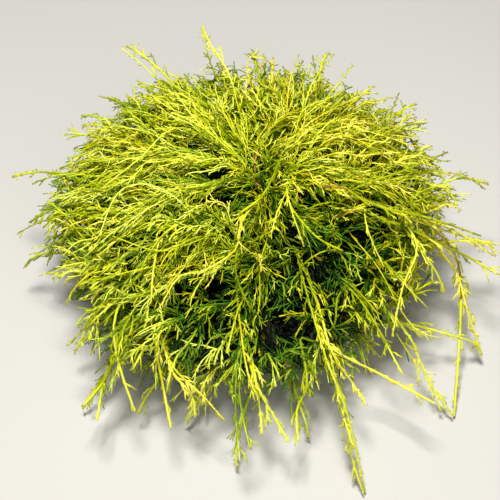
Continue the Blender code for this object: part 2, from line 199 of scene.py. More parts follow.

# Whips of every kind: the radii of the whip and of its cordlets, the spacing of these, the shares
# of its length between which they leave it, their angles and lengths, the spacing of the sprigs
# on them, and how much brighter the whip is than its place in the crown makes it. That glow is
# partly the kind's own colour and partly painted light and shade: the inner whips are painted
# near black for the shade inside the crown.
Kind = namedtuple("Kind", "radius thin spacing shares angles lengths sprigs glow")
KINDS = {
    "leader": Kind(0.00100, 0.00054, 0.0110, (0.16, 0.90), (24, 56), (0.010, 0.036), 0.0062, 0.06),
    "main": Kind(0.00082, 0.00054, 0.0107, (0.10, 0.90), (24, 56), (0.010, 0.036), 0.0062, -0.02),
    "golden": Kind(0.00072, 0.00052, 0.0116, (0.10, 0.90), (22, 56), (0.010, 0.040), 0.0066, 0.10),
    "green": Kind(0.00064, 0.00052, 0.0108, (0.10, 0.94), (24, 58), (0.010, 0.040), 0.0066, -0.04),
    "inner": Kind(0.00095, 0.00085, 0.0170, (0.20, 0.95), (20, 50), (0.020, 0.048), 0.0300, -0.55),
    "draped": Kind(0.00106, 0.00066, 0.0105, (0.30, 0.97), (34, 64), (0.005, 0.024), 0.0060, 0.02),
    "thread": Kind(0.00074, 0.00056, 0.0115, (0.34, 0.97), (30, 60), (0.004, 0.017), 0.0060, 0.00),
    "frond": Kind(0.00078, 0.00060, 0.0100, (0.25, 0.96), (26, 56), (0.005, 0.019), 0.0062, 0.14),
    "woody": Kind(0.00118, 0.00066, 0.0095, (0.20, 0.97), (32, 58), (0.010, 0.022), 0.0060, 0.04),
}
STEM_WOOD_RADIUS = 0.0023
WOODY_SHARE = 0.78
SPRIG_THICKNESS = 0.92
CORD_TAPER = 0.95

# How the whips of a tier hang: how far their ends bend down besides the dome's own slope, in
# degrees, how far their cordlets droop, and the factors of these cordlets' angles, lengths and
# radii, and of the spacing of the sprigs on them.
Habit = namedtuple("Habit", "hook droops spread stretch girth plainness")
HABITS = {
    "crown": Habit(6, (-0.10, 0.70), 1.00, 0.90, 0.94, 1.0),
    "upper": Habit(12, (0.00, 0.95), 1.00, 1.00, 1.00, 1.0),
    "shoulder": Habit(22, (0.20, 1.40), 0.75, 1.40, 1.28, 1.5),
    "skirt": Habit(16, (0.20, 1.40), 0.70, 1.40, 1.28, 1.5),
}

# Cordlets on alternate sides of a whip, and sprigs on alternate sides of a cordlet.
CORDLET_ROLL = 45
CORDLET_SHORTENING = 0.64
SPRIG_SHARES = (0.14, 0.80)
SPRIG_ANGLES = (28, 58)
SPRIG_LENGTHS = (0.003, 0.012)
SPRIG_DROOP = 0.6
TURN = 1.2
CURL = 0.34
NUB_SPACING = 0.0062
NUB_SHARES = (0.12, 1.0)
NUB_ANGLES = (38, 64)
NUB_LENGTHS = (0.0038, 0.0070)
NUB_THICKNESS = 0.82
# Tips are painted brighter: partly the paler new growth, partly a painted highlight.
TIP_GLOW = 0.26

# Camera, in front and high.
CAMERA_BEARING = 270
CAMERA_ELEVATION = 55
CAMERA_DISTANCE = 1.2
CAMERA_AIM = Vector((0, 0, 0.10))
CAMERA_LENS = 84.7
CAMERA_SENSOR = 36
PHOTO_SIDE = 500

# Single cords that stand out in the photograph, where they drape over the rest. Each is told by
# its kind, by the pixels of the photograph that it passes on the way to its tip, and by the share
# of the dome at which it lies. A third number in a pixel is the height of the place instead. The
# cord grows on from the main whip that best leads to its first pixel.
Draped = namedtuple("Draped", "kind share pixels")
DRAPED = {
    "left_high": Draped("thread", 1.08, ((212, 140), (175, 128), (140, 158), (102, 188))),
    "left_arch": Draped("golden", 1.08, ((198, 224), (175, 197), (143, 184), (118, 193), (99, 236))),
    "left_middle": Draped("golden", 1.06, ((223, 229), (199, 240), (160, 251), (112, 236))),
    "left_hook": Draped("thread", 1.06, ((189, 220), (163, 235), (148, 256), (140, 272))),
    "left_fall": Draped("draped", 1.04, ((200, 214), (163, 235), (154, 266), (151, 303))),
    "left_low": Draped("thread", 1.05, ((180, 263), (146, 268), (112, 276), (80, 284))),
    "left_edge": Draped("thread", 1.06, ((104, 212), (70, 214), (40, 222), (18, 233))),
    "left_high_edge": Draped("thread", 1.05, ((110, 178), (74, 174), (40, 172), (13, 175))),
    "left_low_edge": Draped("thread", 1.04, ((118, 258), (82, 280), (65, 305))),
    "left_foot": Draped("draped", 1.02, ((130, 290), (104, 311), (86, 330), (76, 351))),
    "left_foot_two": Draped("thread", 1.02, ((124, 286), (102, 306), (84, 328), (67, 346))),
    "left_foot_three": Draped("draped", 1.02, ((140, 320), (117, 354), (103, 382), (83, 406))),
    "left_front": Draped("draped", 1.02, ((140, 300), (122, 332), (104, 380), (97, 421))),
    "left_hang": Draped("draped", 1.02, ((124, 290), (114, 325), (119, 364), (135, 412))),
    "front_left": Draped("draped", 1.00, ((166, 310), (156, 338), (164, 391), (171, 429))),
    "front_left_two": Draped("draped", 1.02, ((160, 330), (172, 371), (192, 396), (195, 418))),
    "front_left_three": Draped("thread", 1.02, ((160, 336), (174, 368), (201, 394), (224, 420))),
    "top_left": Draped("thread", 1.05, ((176, 104), (150, 72), (122, 48))),
    "top": Draped("thread", 1.05, ((226, 100), (210, 62), (202, 28))),
    "top_hook": Draped("golden", 1.05, ((268, 116), (250, 84), (250, 57), (262, 58))),
    "top_middle": Draped("golden", 1.05, ((286, 122), (289, 86), (299, 55))),
    "top_middle_two": Draped("golden", 1.05, ((300, 122), (312, 84), (334, 54))),
    "right_high_two": Draped("golden", 1.05, ((352, 152), (396, 128), (427, 123))),
    "top_right": Draped("thread", 1.05, ((310, 118), (338, 84), (353, 65))),
    "right_high_edge": Draped("thread", 1.05, ((352, 140), (384, 120), (399, 93))),
    "centre_left": Draped("draped", 1.12, ((278, 165), (262, 196), (240, 213))),
    "centre_thick": Draped("draped", 1.16, ((262, 196), (241, 223), (235, 250), (197, 275))),
    "centre_fall": Draped("draped", 1.14, ((252, 216), (237, 252), (237, 278), (251, 310))),
    "centre_spray": Draped("thread", 1.18, ((292, 180), (277, 213), (271, 235))),
    "centre_right": Draped("thread", 1.18, ((286, 186), (290, 205), (304, 247))),
    "centre_bend": Draped("draped", 1.16, ((284, 192), (295, 213), (318, 238), (343, 251))),
    "centre_arch": Draped("thread", 1.12, ((296, 282), (306, 262), (335, 250), (350, 273))),
    "right_woody": Draped("woody", 1.10, ((314, 192, 0.17), (330, 186), (348, 190), (368, 204))),
    "right_woody_low": Draped("woody", 1.08, ((336, 218), (352, 211), (368, 205))),
    "right_pale": Draped("draped", 1.11, ((352, 194), (385, 208), (410, 213), (442, 222), (481, 236))),
    "right_fork": Draped("thread", 1.11, ((364, 200), (366, 223), (374, 246), (384, 267))),
    "right_high": Draped("draped", 1.07, ((340, 196), (365, 184), (400, 172), (448, 152))),
    "right_edge": Draped("thread", 1.06, ((410, 176), (440, 171), (489, 185))),
    "right_edge_two": Draped("draped", 1.07, ((372, 204), (420, 222), (462, 236), (494, 244))),
    "right_edge_three": Draped("draped", 1.07, ((396, 222), (440, 244), (470, 258), (497, 274))),
    "right_edge_low": Draped("thread", 1.06, ((400, 216), (446, 226), (494, 256))),
    "right_fall_two": Draped("draped", 1.06, ((400, 222), (422, 252), (436, 272), (445, 293))),
    "right_spray": Draped("frond", 1.04, ((352, 236), (379, 269), (402, 312), (423, 338))),
    "right_spray_two": Draped("frond", 1.04, ((385, 262), (409, 289), (428, 308))),
    "right_spray_three": Draped("frond", 1.04, ((370, 290), (399, 338), (418, 368))),
    "right_spray_four": Draped("frond", 1.04, ((340, 268), (372, 318), (392, 352))),
    "right_fall": Draped("draped", 1.06, ((396, 212), (417, 246), (403, 286), (392, 337))),
    "right_hang": Draped(
        "woody", 1.06, ((420, 214), (455, 255, 0.118), (461, 300, 0.078), (454, 417, 0.006))
    ),
    "right_hang_two": Draped(
        "draped", 1.06, ((420, 230), (456, 272, 0.104), (466, 306, 0.076), (482, 356, 0.022))
    ),
    "front_long": Draped("draped", 1.08, ((296, 250), (304, 283), (326, 358), (347, 413), (365, 492))),
    "front_long_two": Draped("draped", 1.06, ((298, 256), (316, 300), (330, 352), (338, 396), (352, 444))),
    "front_long_three": Draped("draped", 1.06, ((306, 268), (320, 310), (332, 352), (356, 388), (366, 405))),
    "front_long_side": Draped("draped", 1.06, ((318, 320), (328, 345), (380, 374), (436, 404))),
    "front_right": Draped("draped", 1.04, ((330, 270), (360, 300), (384, 340), (403, 375))),
    "front_middle": Draped("draped", 1.04, ((236, 280), (240, 324), (248, 374), (258, 398))),
    "front_fork": Draped("draped", 1.02, ((246, 350), (257, 385), (276, 420), (289, 442))),
    "front_fork_two": Draped("draped", 1.02, ((250, 350), (256, 382), (260, 410), (262, 433))),
    "front_fall": Draped("draped", 1.02, ((300, 340), (307, 384), (297, 410), (298, 441))),
    "front_foot": Draped("frond", 1.02, ((241, 325), (236, 380), (236, 420), (240, 462))),
    "front_foot_two": Draped("frond", 1.02, ((246, 320), (241, 360), (240, 400), (250, 450))),
}
DRAPED_ROOT_DEPTH = 0.14
DRAPED_STRAYING = 0.6
DRAPED_STEPS = 4
VIEW_NEAREST = 0.85
VIEW_FURTHEST = 1.50
VIEW_STEP = 0.0015
FRONT_REACH = -0.224

# Painted shade and painted light in the cords' colours. The lower front's green whips are painted
# darker and greener: painted shade under the crown, with the greener growth there. Its golden
# whips are painted brighter than elsewhere. The green ones are painted as lit best at the top and
# back, and the dim places are painted darker. The depth is how much darker or brighter.
SHADE = Hollow(280, 86, 60, 40, 0.28)
PAINTED_GOLDEN_LIGHT = 0.27
LIT_PLACES = (
    Hollow(95, 58, 100, 58, 0.36),
    Hollow(285, 18, 60, 16, 0.28),
    Hollow(175, 30, 60, 30, 0.28),
)
DIM_PLACES = (Hollow(318, 42, 24, 15, 0.44), Hollow(262, 58, 30, 15, 0.12))
DRAPED_KINDS = ("draped", "thread", "woody", "frond")
GREEN_KINDS = ("green", "inner", "frond")
GOLDEN_SHARES = {"crown": 0.46, "upper": 0.44, "shoulder": 0.42, "skirt": 0.32}

# How bright the foliage is painted: the share of the dome at which it is darkest, and how much
# brighter it is at the dome, at the crown's top and everywhere. This is partly the real change
# from green inside to gold outside and partly painted shade inside the crown and painted light on
# top. In the hollows, where the cords end short of the dome, a part of that painted shade is taken
# back.
SHADE_SHARE = 0.52
DOME_LIGHT = 0.62
HEIGHT_LIGHT = 0.16
LEAST_LIGHT = 0.08
HOLLOW_LIGHT = 0.5

# Colours of the cords, from deep inside the crown to its brightest tips, in display values. They
# run from green to gold as the cultivar does, with painted shade in the two darkest and a painted
# highlight in the palest.
CORD_COLOURS = {
    # The two darkest are painted shade, for the dark inside the crown and the gaps between cords.
    "inmost_painted_shade": (6, 14, 1),
    "painted_shade_dark_green": (15, 40, 4),
    "deep_green": (36, 82, 7),
    "leaf_green": (68, 112, 8),
    "yellow_green": (102, 132, 3),
    "lime": (130, 150, 2),
    "gold": (150, 166, 2),
    "bright_gold": (176, 186, 8),
    "pale_gold": (202, 208, 30),
    "palest_gold": (226, 230, 74),
}
TINTS = list(CORD_COLOURS)
TINTS_IN_FULL_LIGHT = 8.3
# The warm and the fresh colours follow the same ladder of painted light and shade, with a painted highlight
# in the palest.
WARM_COLOURS = {
    "amber": (156, 158, 2),
    "bright_amber": (184, 181, 8),
    "pale_amber": (212, 207, 36),
    "palest_amber": (234, 230, 86),
}
FRESH_COLOURS = {
    "fresh_green": (88, 131, 14),
    "fresh_lime": (116, 150, 18),
    "fresh_gold": (142, 167, 28),
    "bright_fresh_gold": (170, 188, 44),
    "pale_fresh_gold": (197, 211, 56),
    "palest_fresh_gold": (223, 233, 96),
}

# The sprays that take the warm colours or the fresh ones instead of those for the same light: the
# first colour that they change, the share of them anywhere, and the places where there are more.
Shift = namedtuple("Shift", "first colours share places")
SHIFTS = {
    "warm": Shift(TINTS.index("gold"), WARM_COLOURS, 0.12, (Hollow(30, 60, 60, 50, 0.56), Hollow(290, 26, 55, 26, 0.44))),
    "fresh": Shift(
        TINTS.index("yellow_green"), FRESH_COLOURS, 0.10,
        (Hollow(280, 92, 75, 42, 0.80), Hollow(205, 60, 40, 40, 0.25)),
    ),
}
COLOURS = CORD_COLOURS | WARM_COLOURS | FRESH_COLOURS
CORD_ROUGHNESS = 0.48
CORD_SHINE = 0.18
TWIG_COLOUR = (190, 146, 60)
TWIG_CREVICE_COLOUR = (142, 100, 40)
BARK_COLOUR = (104, 66, 44)
BARK_CREVICE_COLOUR = (52, 30, 20)
FLOOR_COLOUR = (204, 202, 198)


# Plain geometry

def compass(bearing):
    angle = math.radians(bearing)
    return Vector((math.cos(angle), math.sin(angle), 0.0))


def heading(bearing, rise):
    """A unit vector along a bearing that rises by an angle, both in degrees."""
    lift = math.radians(rise)
    return compass(bearing) * math.cos(lift) + Vector((0, 0, math.sin(lift)))


def hollow(bearing, polar, places=HOLLOWS):
    """How far the dome is pressed in at a place, as a share of its size."""
    depth = 0
    for place in places:
        turn = ((bearing - place.bearing + 180) % 360 - 180) / place.half_turn
        tilt = (polar - place.polar) / place.half_tilt
        depth += place.depth * math.exp(-turn * turn - tilt * tilt)
    return depth


def dome_point(bearing, polar, share):
    """A point at a bearing and an angle from the vertical, on the dome scaled about its middle."""
    angle = math.radians(polar)
    depth = CROWN_RISE if polar < 90 else SKIRT_DROP
    flat = compass(bearing)
    out = Vector((flat.x * CROWN_HALF_WIDTH, flat.y * CROWN_HALF_DEPTH, 0)) * math.sin(angle)
    radius = out + Vector((0, 0, depth * math.cos(angle)))
    return CROWN_MIDDLE + radius * (share * (1 - hollow(bearing, polar)))


def drape(bearing, polar):
    """The way a cord points where it ends, by its place on the dome."""
    return heading(bearing, TOP_DRAPE + (FOOT_DRAPE - TOP_DRAPE) * min(polar / FOOT_DRAPE_POLAR, 1))


def bow(start, start_way, end, end_way, steps, reach):
    """Points along a cubic curve that leaves and arrives along two given directions."""
    pull = (end - start).length * reach
    near = start + start_way * pull
    far = end - end_way * pull
    points = []
    for i in range(steps + 1):
        t = i / steps
        u = 1 - t
        points.append(start * u**3 + near * (3 * u * u * t) + far * (3 * u * t * t) + end * t**3)
    return points


# The main cords, which are those of the solids

def cord_radii(start, count, parent_radius=None):
    """Radii at a cord's points: an even taper, a sharper tip, and a root that its parent hides."""
    radii = [start * (1 - (1 - TAPER) * i / (count - 1)) for i in range(count)]
    radii[-1] *= TIP_SHARE
    if parent_radius:
        radii[0] = min(radii[0], parent_radius * ROOT_SHARE)
    return radii


class Cord:
    """One tapering stretch of limb or foliage: its centre line and its radius at each point."""

    def __init__(self, points, radii):
        self.points = points
        self.radii = radii

    def at(self, share):
        """The place, direction and radius at a share of the cord's length."""
        spans = [(q - p).length for p, q in zip(self.points, self.points[1:])]
        left = share * sum(spans)
        for i, span in enumerate(spans):
            if left <= span:
                break
            left -= span
        p, q = self.points[i:i + 2]
        r, s = self.radii[i:i + 2]
        part = left / span
        return p.lerp(q, part), (q - p).normalized(), r + (s - r) * part

    def samples(self):
        """Close points along the cord with its radius at each, as rows x, y, z, radius."""
        rows = []
        steps = zip(self.points, self.points[1:], self.radii, self.radii[1:])
        for p, q, r, s in steps:
            count = max(1, math.ceil((q - p).length / SAMPLE_STEP))
            for i in range(count):
                rows.append((*p.lerp(q, i / count), r + (s - r) * i / count))
        rows.append((*self.points[-1], self.radii[-1]))
        return np.array(rows)


class Room:
    """The space that every node's cords have taken, so that the nodes keep apart."""

    def __init__(self):
        self.rows = np.zeros((0, 4))
        self.owners = np.zeros(0, int)
        self.names = []

    def number(self, name):
        if name not in self.names:
            self.names.append(name)
        return self.names.index(name)

    def take(self, name, cord):
        rows = cord.samples()
        self.rows = np.vstack([self.rows, rows])
        self.owners = np.append(self.owners, np.full(len(rows), self.number(name)))

    def is_clear(self, name, cord):
        """True if a cord stays above the ground and clear of every other node."""
        rows = cord.samples()
        if (rows[:, 2] - rows[:, 3]).min() < GROUND_CLEARANCE:
            return False
        others = self.rows[self.owners != self.number(name)]
        margin = 2 * BOUGH_FOOT_RADIUS + CLEARANCE
        low = rows[:, :3].min(0) - margin
        high = rows[:, :3].max(0) + margin
        near = others[((others[:, :3] > low) & (others[:, :3] < high)).all(1)]
        if not len(near):
            return True
        gaps = np.linalg.norm(rows[:, None, :3] - near[None, :, :3], axis=2)
        return bool((gaps > rows[:, None, 3] + near[None, :, 3] + CLEARANCE).all())


def trunk_axis(height):
    """The middle of the trunk at a height, or the place above its tip."""
    share = min(height / TRUNK_HEIGHT, 1)
    return TRUNK_LEAN * (share * share) + Vector((0, 0, height))


def trunk_points():
    """Points up the trunk's centre line, closer together near its foot."""
    shares = [(i / TRUNK_RINGS) ** TRUNK_RING_CROWDING for i in range(TRUNK_RINGS + 1)]
    return [trunk_axis(TRUNK_HEIGHT * share) for share in shares]


def trunk_radius(height):
    if height < TRUNK_NECK_HEIGHT:
        flare = (1 - height / TRUNK_NECK_HEIGHT) ** 2
        return TRUNK_NECK_RADIUS + (TRUNK_FOOT_RADIUS - TRUNK_NECK_RADIUS) * flare
    share = (height - TRUNK_NECK_HEIGHT) / (TRUNK_HEIGHT - TRUNK_NECK_HEIGHT)
    return TRUNK_NECK_RADIUS + (TRUNK_TIP_RADIUS - TRUNK_NECK_RADIUS) * share


def tier_members(tier):
    """The names of a tier's masses, in order of bearing."""
    names = [name for name, mass in MASSES.items() if mass.tier == tier]
    return sorted(names, key=lambda name: MASSES[name].bearing)


def belt_of(name):
    """The two bearings between which a mass's part of its belt lies."""
    members = tier_members(MASSES[name].tier)
    if len(members) == 1:
        return 0, 360
    place = members.index(name)
    here = MASSES[name].bearing
    before = (here - MASSES[members[place - 1]].bearing) % 360
    after = (MASSES[members[(place + 1) % len(members)]].bearing - here) % 360
    return here - before / 2, here + after / 2


def bough_course(name, steps=BOUGH_STEPS):
    """The centre line of a mass's bough, from inside the trunk to the mass."""
    mass = MASSES[name]
    tier = TIERS[mass.tier]
    place = tier_members(mass.tier).index(name)
    start = trunk_axis(tier.whorls[place % len(tier.whorls)])
    end = trunk_axis(tier.end_height) + compass(mass.bearing) * tier.end_radius
    leave = heading(mass.bearing, tier.rise)
    arrive = heading(mass.bearing, tier.end_rise)
    return bow(start, leave, end, arrive, steps, BOUGH_REACH)


def bough(name, steps=BOUGH_STEPS):
    """A mass's bough: one tapering limb."""
    points = bough_course(name, steps)
    taper = (BOUGH_TIP_RADIUS - BOUGH_FOOT_RADIUS) / steps
    return Cord(points, [BOUGH_FOOT_RADIUS + taper * i for i in range(steps + 1)])


# A course holds what a cord's curve is worked out from, so that it can be drawn coarse or fine.
Course = namedtuple("Course", "start leave end arrive reach")


def draw(course, steps):
    return bow(course.start, course.leave, course.end, course.arrive, steps, course.reach)


def leader_course(name):
    """The course of a mass's leading whip, from the neck past its bough's tip to its own tip."""
    mass = MASSES[name]
    tier = TIERS[mass.tier]
    carrier = bough_course(name) if tier.whorls else trunk_points()
    way = (carrier[-1] - carrier[-2]).normalized()
    neck = carrier[-1] + way * (JOINT_GAP + STEM_NECK)
    tip = compass(mass.tip_bearing) * mass.tip_radius + Vector((0, 0, mass.tip_height))
    return Course(neck, way, tip, drape(mass.tip_bearing, sum(tier.belt) / 2), BOUGH_REACH)


def leader(course):
    """A mass's stem and leading whip, as in its solid."""
    points = [course.start - course.leave * STEM_NECK] + draw(course, LEADER_STEPS)
    return Cord(points, cord_radii(STEM_RADIUS, len(points)))


def whip_course(name, number, stem, rng):
    """The course of a whip for a place of its own in the mass's part of the belt."""
    tier = TIERS[MASSES[name].tier]
    low, high = belt_of(name)
    top, bottom = tier.belt
    across = (number * GOLDEN_TURN + rng.uniform(-PLACE_JITTER, PLACE_JITTER)) % 1
    bearing = low + (high - low) * across
    polar = top + (bottom - top) * (number + rng.random()) / tier.whips
    end = dome_point(bearing, polar, rng.uniform(*WHIP_END_SHARES))
    start, way, stem_radius = stem.at(rng.uniform(*tier.forks))
    leave = (way + compass(bearing) * WHIP_OUTWARD + Vector((0, 0, WHIP_UPWARD))).normalized()
    course = Course(start, leave, end, drape(bearing, polar), WHIP_REACH)
    points = draw(course, WHIP_STEPS)
    return course, Cord(points, cord_radii(WHIP_RADIUS, len(points), stem_radius))


def main_courses():
    """The courses of every mass's leader and main whips, by the rule that made the solids."""
    room = Room()
    rng = random.Random(SEED)
    room.take("trunk", Cord(trunk_points(), [trunk_radius(p.z) for p in trunk_points()]))
    courses = {name: [leader_course(name)] for name in MASSES}
    stems = {name: leader(courses[name][0]) for name in MASSES}
    for name in MASSES:
        if TIERS[MASSES[name].tier].whorls:
            room.take(f"bough_{name}", bough(name))
    for name, stem in stems.items():
        room.take(name, stem)
    for number in range(max(tier.whips for tier in TIERS.values())):
        for name, stem in stems.items():
            if number >= TIERS[MASSES[name].tier].whips:
                continue
            for _ in range(TRIES):
                course, cord = whip_course(name, number, stem, rng)
                if room.is_clear(name, cord):
                    room.take(name, cord)
                    courses[name].append(course)
                    break
    return courses


# Finer growth

# A whip: its kind, and its centre line as an array of points. Its look: its kind, and the shift of
# its colours, or None.
Whip = namedtuple("Whip", "kind line")
Look = namedtuple("Look", "kind shift")


def unit(rows):
    return rows / np.linalg.norm(rows, axis=-1, keepdims=True)


def fork_place(name, part, across):
    """A bearing and an angle from the vertical, spread evenly over a mass's part of the belt."""
    low, high = belt_of(name)
    over = (high - low) * BELT_OVERLAP
    top, bottom = TIERS[MASSES[name].tier].belt
    top = math.cos(math.radians(max(0, top - POLAR_OVERLAP)))
    bottom = math.cos(math.radians(bottom + POLAR_OVERLAP))
    polar = math.degrees(math.acos(top + (bottom - top) * part))
    return low - over + (high - low + 2 * over) * across, polar


def fork_course(name, mains, number, count, kind, rng):
    """The kind and course of a fine whip, which forks from the main whip that ends nearest to it.

    The kind is None for a whip that is left out in a sparse place.
    """
    part = (number + rng.random()) / count
    across = (number * GOLDEN_TURN + rng.uniform(-PLACE_JITTER, PLACE_JITTER)) % 1
    bearing, polar = fork_place(name, part, across)
    bareness = hollow(bearing, polar, SPARSE_PLACES)
    if kind == "green" and rng.random() < bareness:
        kind = None
    if kind == "golden" and rng.random() < bareness * GREENED_SHARE:
        kind = "green"
    place = dome_point(bearing, polar, 1)
    parent = min(mains, key=lambda course: (course.end - place).length)
    latest = max(FORK_EARLIEST, FORK_LATEST - FORK_GAP_COST * (parent.end - place).length)
    if kind == "inner":
        latest = min(latest, INNER_FORK_LATEST)
    spot = rng.uniform(FORK_EARLIEST, latest) * FINE_STEPS
    line = draw(parent, FINE_STEPS)
    start = line[int(spot)].lerp(line[int(spot) + 1], spot % 1)
    way = (line[int(spot) + 1] - line[int(spot)]).normalized()
    share = rng.uniform(*END_SHARES[kind or "green"]) * (1 - hollow(bearing, polar, THIN_PLACES))
    end = dome_point(bearing, polar, share)
    leave = (way + (end - start).normalized() * FORK_OPENING).normalized()
    turned = bearing + rng.uniform(-END_TURN, END_TURN)
    hook = HABITS[MASSES[name].tier].hook
    tilted = max(0, polar + hook + rng.uniform(-END_TILT, END_TILT))
    return kind, Course(start, leave, end, drape(turned, tilted), FORK_REACH)


def waver(line, fine):
    """Bends a whip a little from side to side between its root and its tip."""
    shares = np.linspace(0, 1, len(line))
    ways = unit(np.gradient(line, axis=0))
    across = unit(np.cross(ways, (0.01, 0.02, 1.0)))
    lift = np.cross(ways, across)
    for sideways in (across, lift):
        swing = np.sin(2 * np.pi * (fine.uniform(0.6, 2.2) * shares + fine.random()))
        line = line + sideways * (WAVER * swing * np.sin(np.pi * shares))[:, None]
    return line


def mass_whips(name, mains, rng, fine):
    """Every whip of a mass: its leader, its main ones, and its fine outer and inner ones."""
    tier = MASSES[name].tier
    whips = []
    for number, course in enumerate(mains):
        kind = "main" if number else "leader"
        whips.append(Whip(kind, waver(np.array(draw(course, FINE_STEPS)), fine)))
    outer, inner = OUTER_WHIPS[tier], INNER_WHIPS[tier]
    for number in range(outer + inner):
        kind = "golden" if rng.random() < GOLDEN_SHARES[tier] else "green"
        if number < outer:
            kind, course = fork_course(name, mains, number, outer, kind, rng)
        else:
            kind, course = fork_course(name, mains, number - outer, inner, "inner", rng)
        if kind:
            whips.append(Whip(kind, waver(np.array(draw(course, FINE_STEPS)), fine)))
    return whips


def dome_share(place):
    """The share of the dome at which a place lies."""
    middle = place - CROWN_MIDDLE
    depth = CROWN_RISE if middle.z > 0 else SKIRT_DROP
    out = Vector((middle.x / CROWN_HALF_WIDTH, middle.y / CROWN_HALF_DEPTH, middle.z / depth))
    bearing = math.degrees(math.atan2(out.y, out.x))
    polar = math.degrees(math.acos(out.z / out.length))
    return out.length / (1 - hollow(bearing, polar))


def place_of(pixel, share):
    """Where the view through a pixel meets the dome, or passes nearest to it, or has its height."""
    away = heading(CAMERA_BEARING, CAMERA_ELEVATION)
    right = Vector((1, 0, 0))
    over = away.cross(right)
    scale = CAMERA_SENSOR / CAMERA_LENS / PHOTO_SIDE
    shift = right * (pixel[0] - PHOTO_SIDE / 2) + over * (PHOTO_SIDE / 2 - pixel[1])
    way = (shift * scale - away).normalized()
    eye = CAMERA_AIM + away * CAMERA_DISTANCE
    if len(pixel) == 3:
        return eye + way * ((pixel[2] - eye.z) / way.z)
    nearest = None
    for number in range(int((VIEW_FURTHEST - VIEW_NEAREST) / VIEW_STEP)):
        place = eye + way * (VIEW_NEAREST + number * VIEW_STEP)
        if place.y < FRONT_REACH and place.z > GROUND_CLEARANCE * 4:
            continue
        if place.z < GROUND_CLEARANCE * 2:
            break
        here = dome_share(place)
        if nearest is None or here < nearest[0]:
            nearest = (here, place)
        if here <= share:
            break
    return nearest[1]


def smooth_line(points, steps):
    """Points along a smooth curve through every given point."""
    ends = [points[0] * 2 - points[1], *points, points[-1] * 2 - points[-2]]
    line = []
    for before, first, second, after in zip(ends, ends[1:], ends[2:], ends[3:]):
        stretch = second - first
        leave = (second - before).normalized() * stretch.length
        arrive = (after - first).normalized() * stretch.length
        line += bow(first, leave / stretch.length, second, arrive / stretch.length, steps, 1 / 3)[:-1]
    return line + [points[-1]]


def draped_whips(courses):
    """The draped cords of every mass, each grown on from the main whip that leads to it best."""
    whips = {name: [] for name in MASSES}
    lines = {name: [draw(course, FINE_STEPS) for course in mains] for name, mains in courses.items()}
    for cord in DRAPED.values():
        first = place_of(cord.pixels[0], cord.share - DRAPED_ROOT_DEPTH)
        places = [first] + [place_of(pixel, cord.share) for pixel in cord.pixels[1:]]
        best = None
        for name, mains in lines.items():
            for line in mains:
                for here, after in zip(line[1:-2], line[2:]):
                    way = (after - here).normalized()
                    off = first - here
                    lead = way.dot(off.normalized()) + way.dot((places[1] - first).normalized())
                    cost = off.length * (1 + DRAPED_STRAYING * (2 - lead))
                    if best is None or cost < best[0]:
                        best = (cost, name, here, way)
        cost, name, root, leave = best
        arrive = (places[1] - first).normalized()
        inner = bow(root, leave, first, arrive, DRAPED_STEPS, FORK_REACH)
        line = inner[:-1] + smooth_line(places, DRAPED_STEPS)
        whips[name].append(Whip(cord.kind, np.array(line)))
    return whips


def along(points, shares):
    """Places and directions at shares of each row's polyline, all rows at once."""
    spans = points.shape[1] - 1
    place = np.clip(shares * spans, 0, spans - 1e-6)
    step = place.astype(int)
    rows = np.arange(len(points))
    first = points[rows, step]
    span = points[rows, step + 1] - first
    return first + span * (place - step)[:, None], unit(span)


def side_shoots(places, ways, sides, angles, lengths, droops, steps, fine):
    """Curved side shoots, as an array of points.

    Each leaves its parent at an angle, turns to its parent's way, curls a little, and droops.
    """
    rolls = np.radians(fine.uniform(-CORDLET_ROLL, CORDLET_ROLL, len(places)))
    up = np.array((0.0, 0.0, 1.0))
    across = unit(np.cross(ways, up + 1e-4)) * sides[:, None]
    lift = np.cross(ways, across)
    across = across * np.cos(rolls)[:, None] + lift * np.sin(rolls)[:, None]
    leave = ways * np.cos(angles)[:, None] + across * np.sin(angles)[:, None]
    third = lengths[:, None] / 3
    knee = places + leave * third
    bend = knee + unit(leave + ways * TURN + fine.normal(0, CURL, places.shape)) * third
    onward = unit(ways + fine.normal(0, CURL, places.shape))
    end = bend + unit(onward - up * droops[:, None]) * third
    t = np.linspace(0, 1, steps + 1)[None, :, None]
    first = places[:, None] * (1 - t) ** 3 + knee[:, None] * (3 * t * (1 - t) ** 2)
    return first + bend[:, None] * (3 * t**2 * (1 - t)) + end[:, None] * t**3


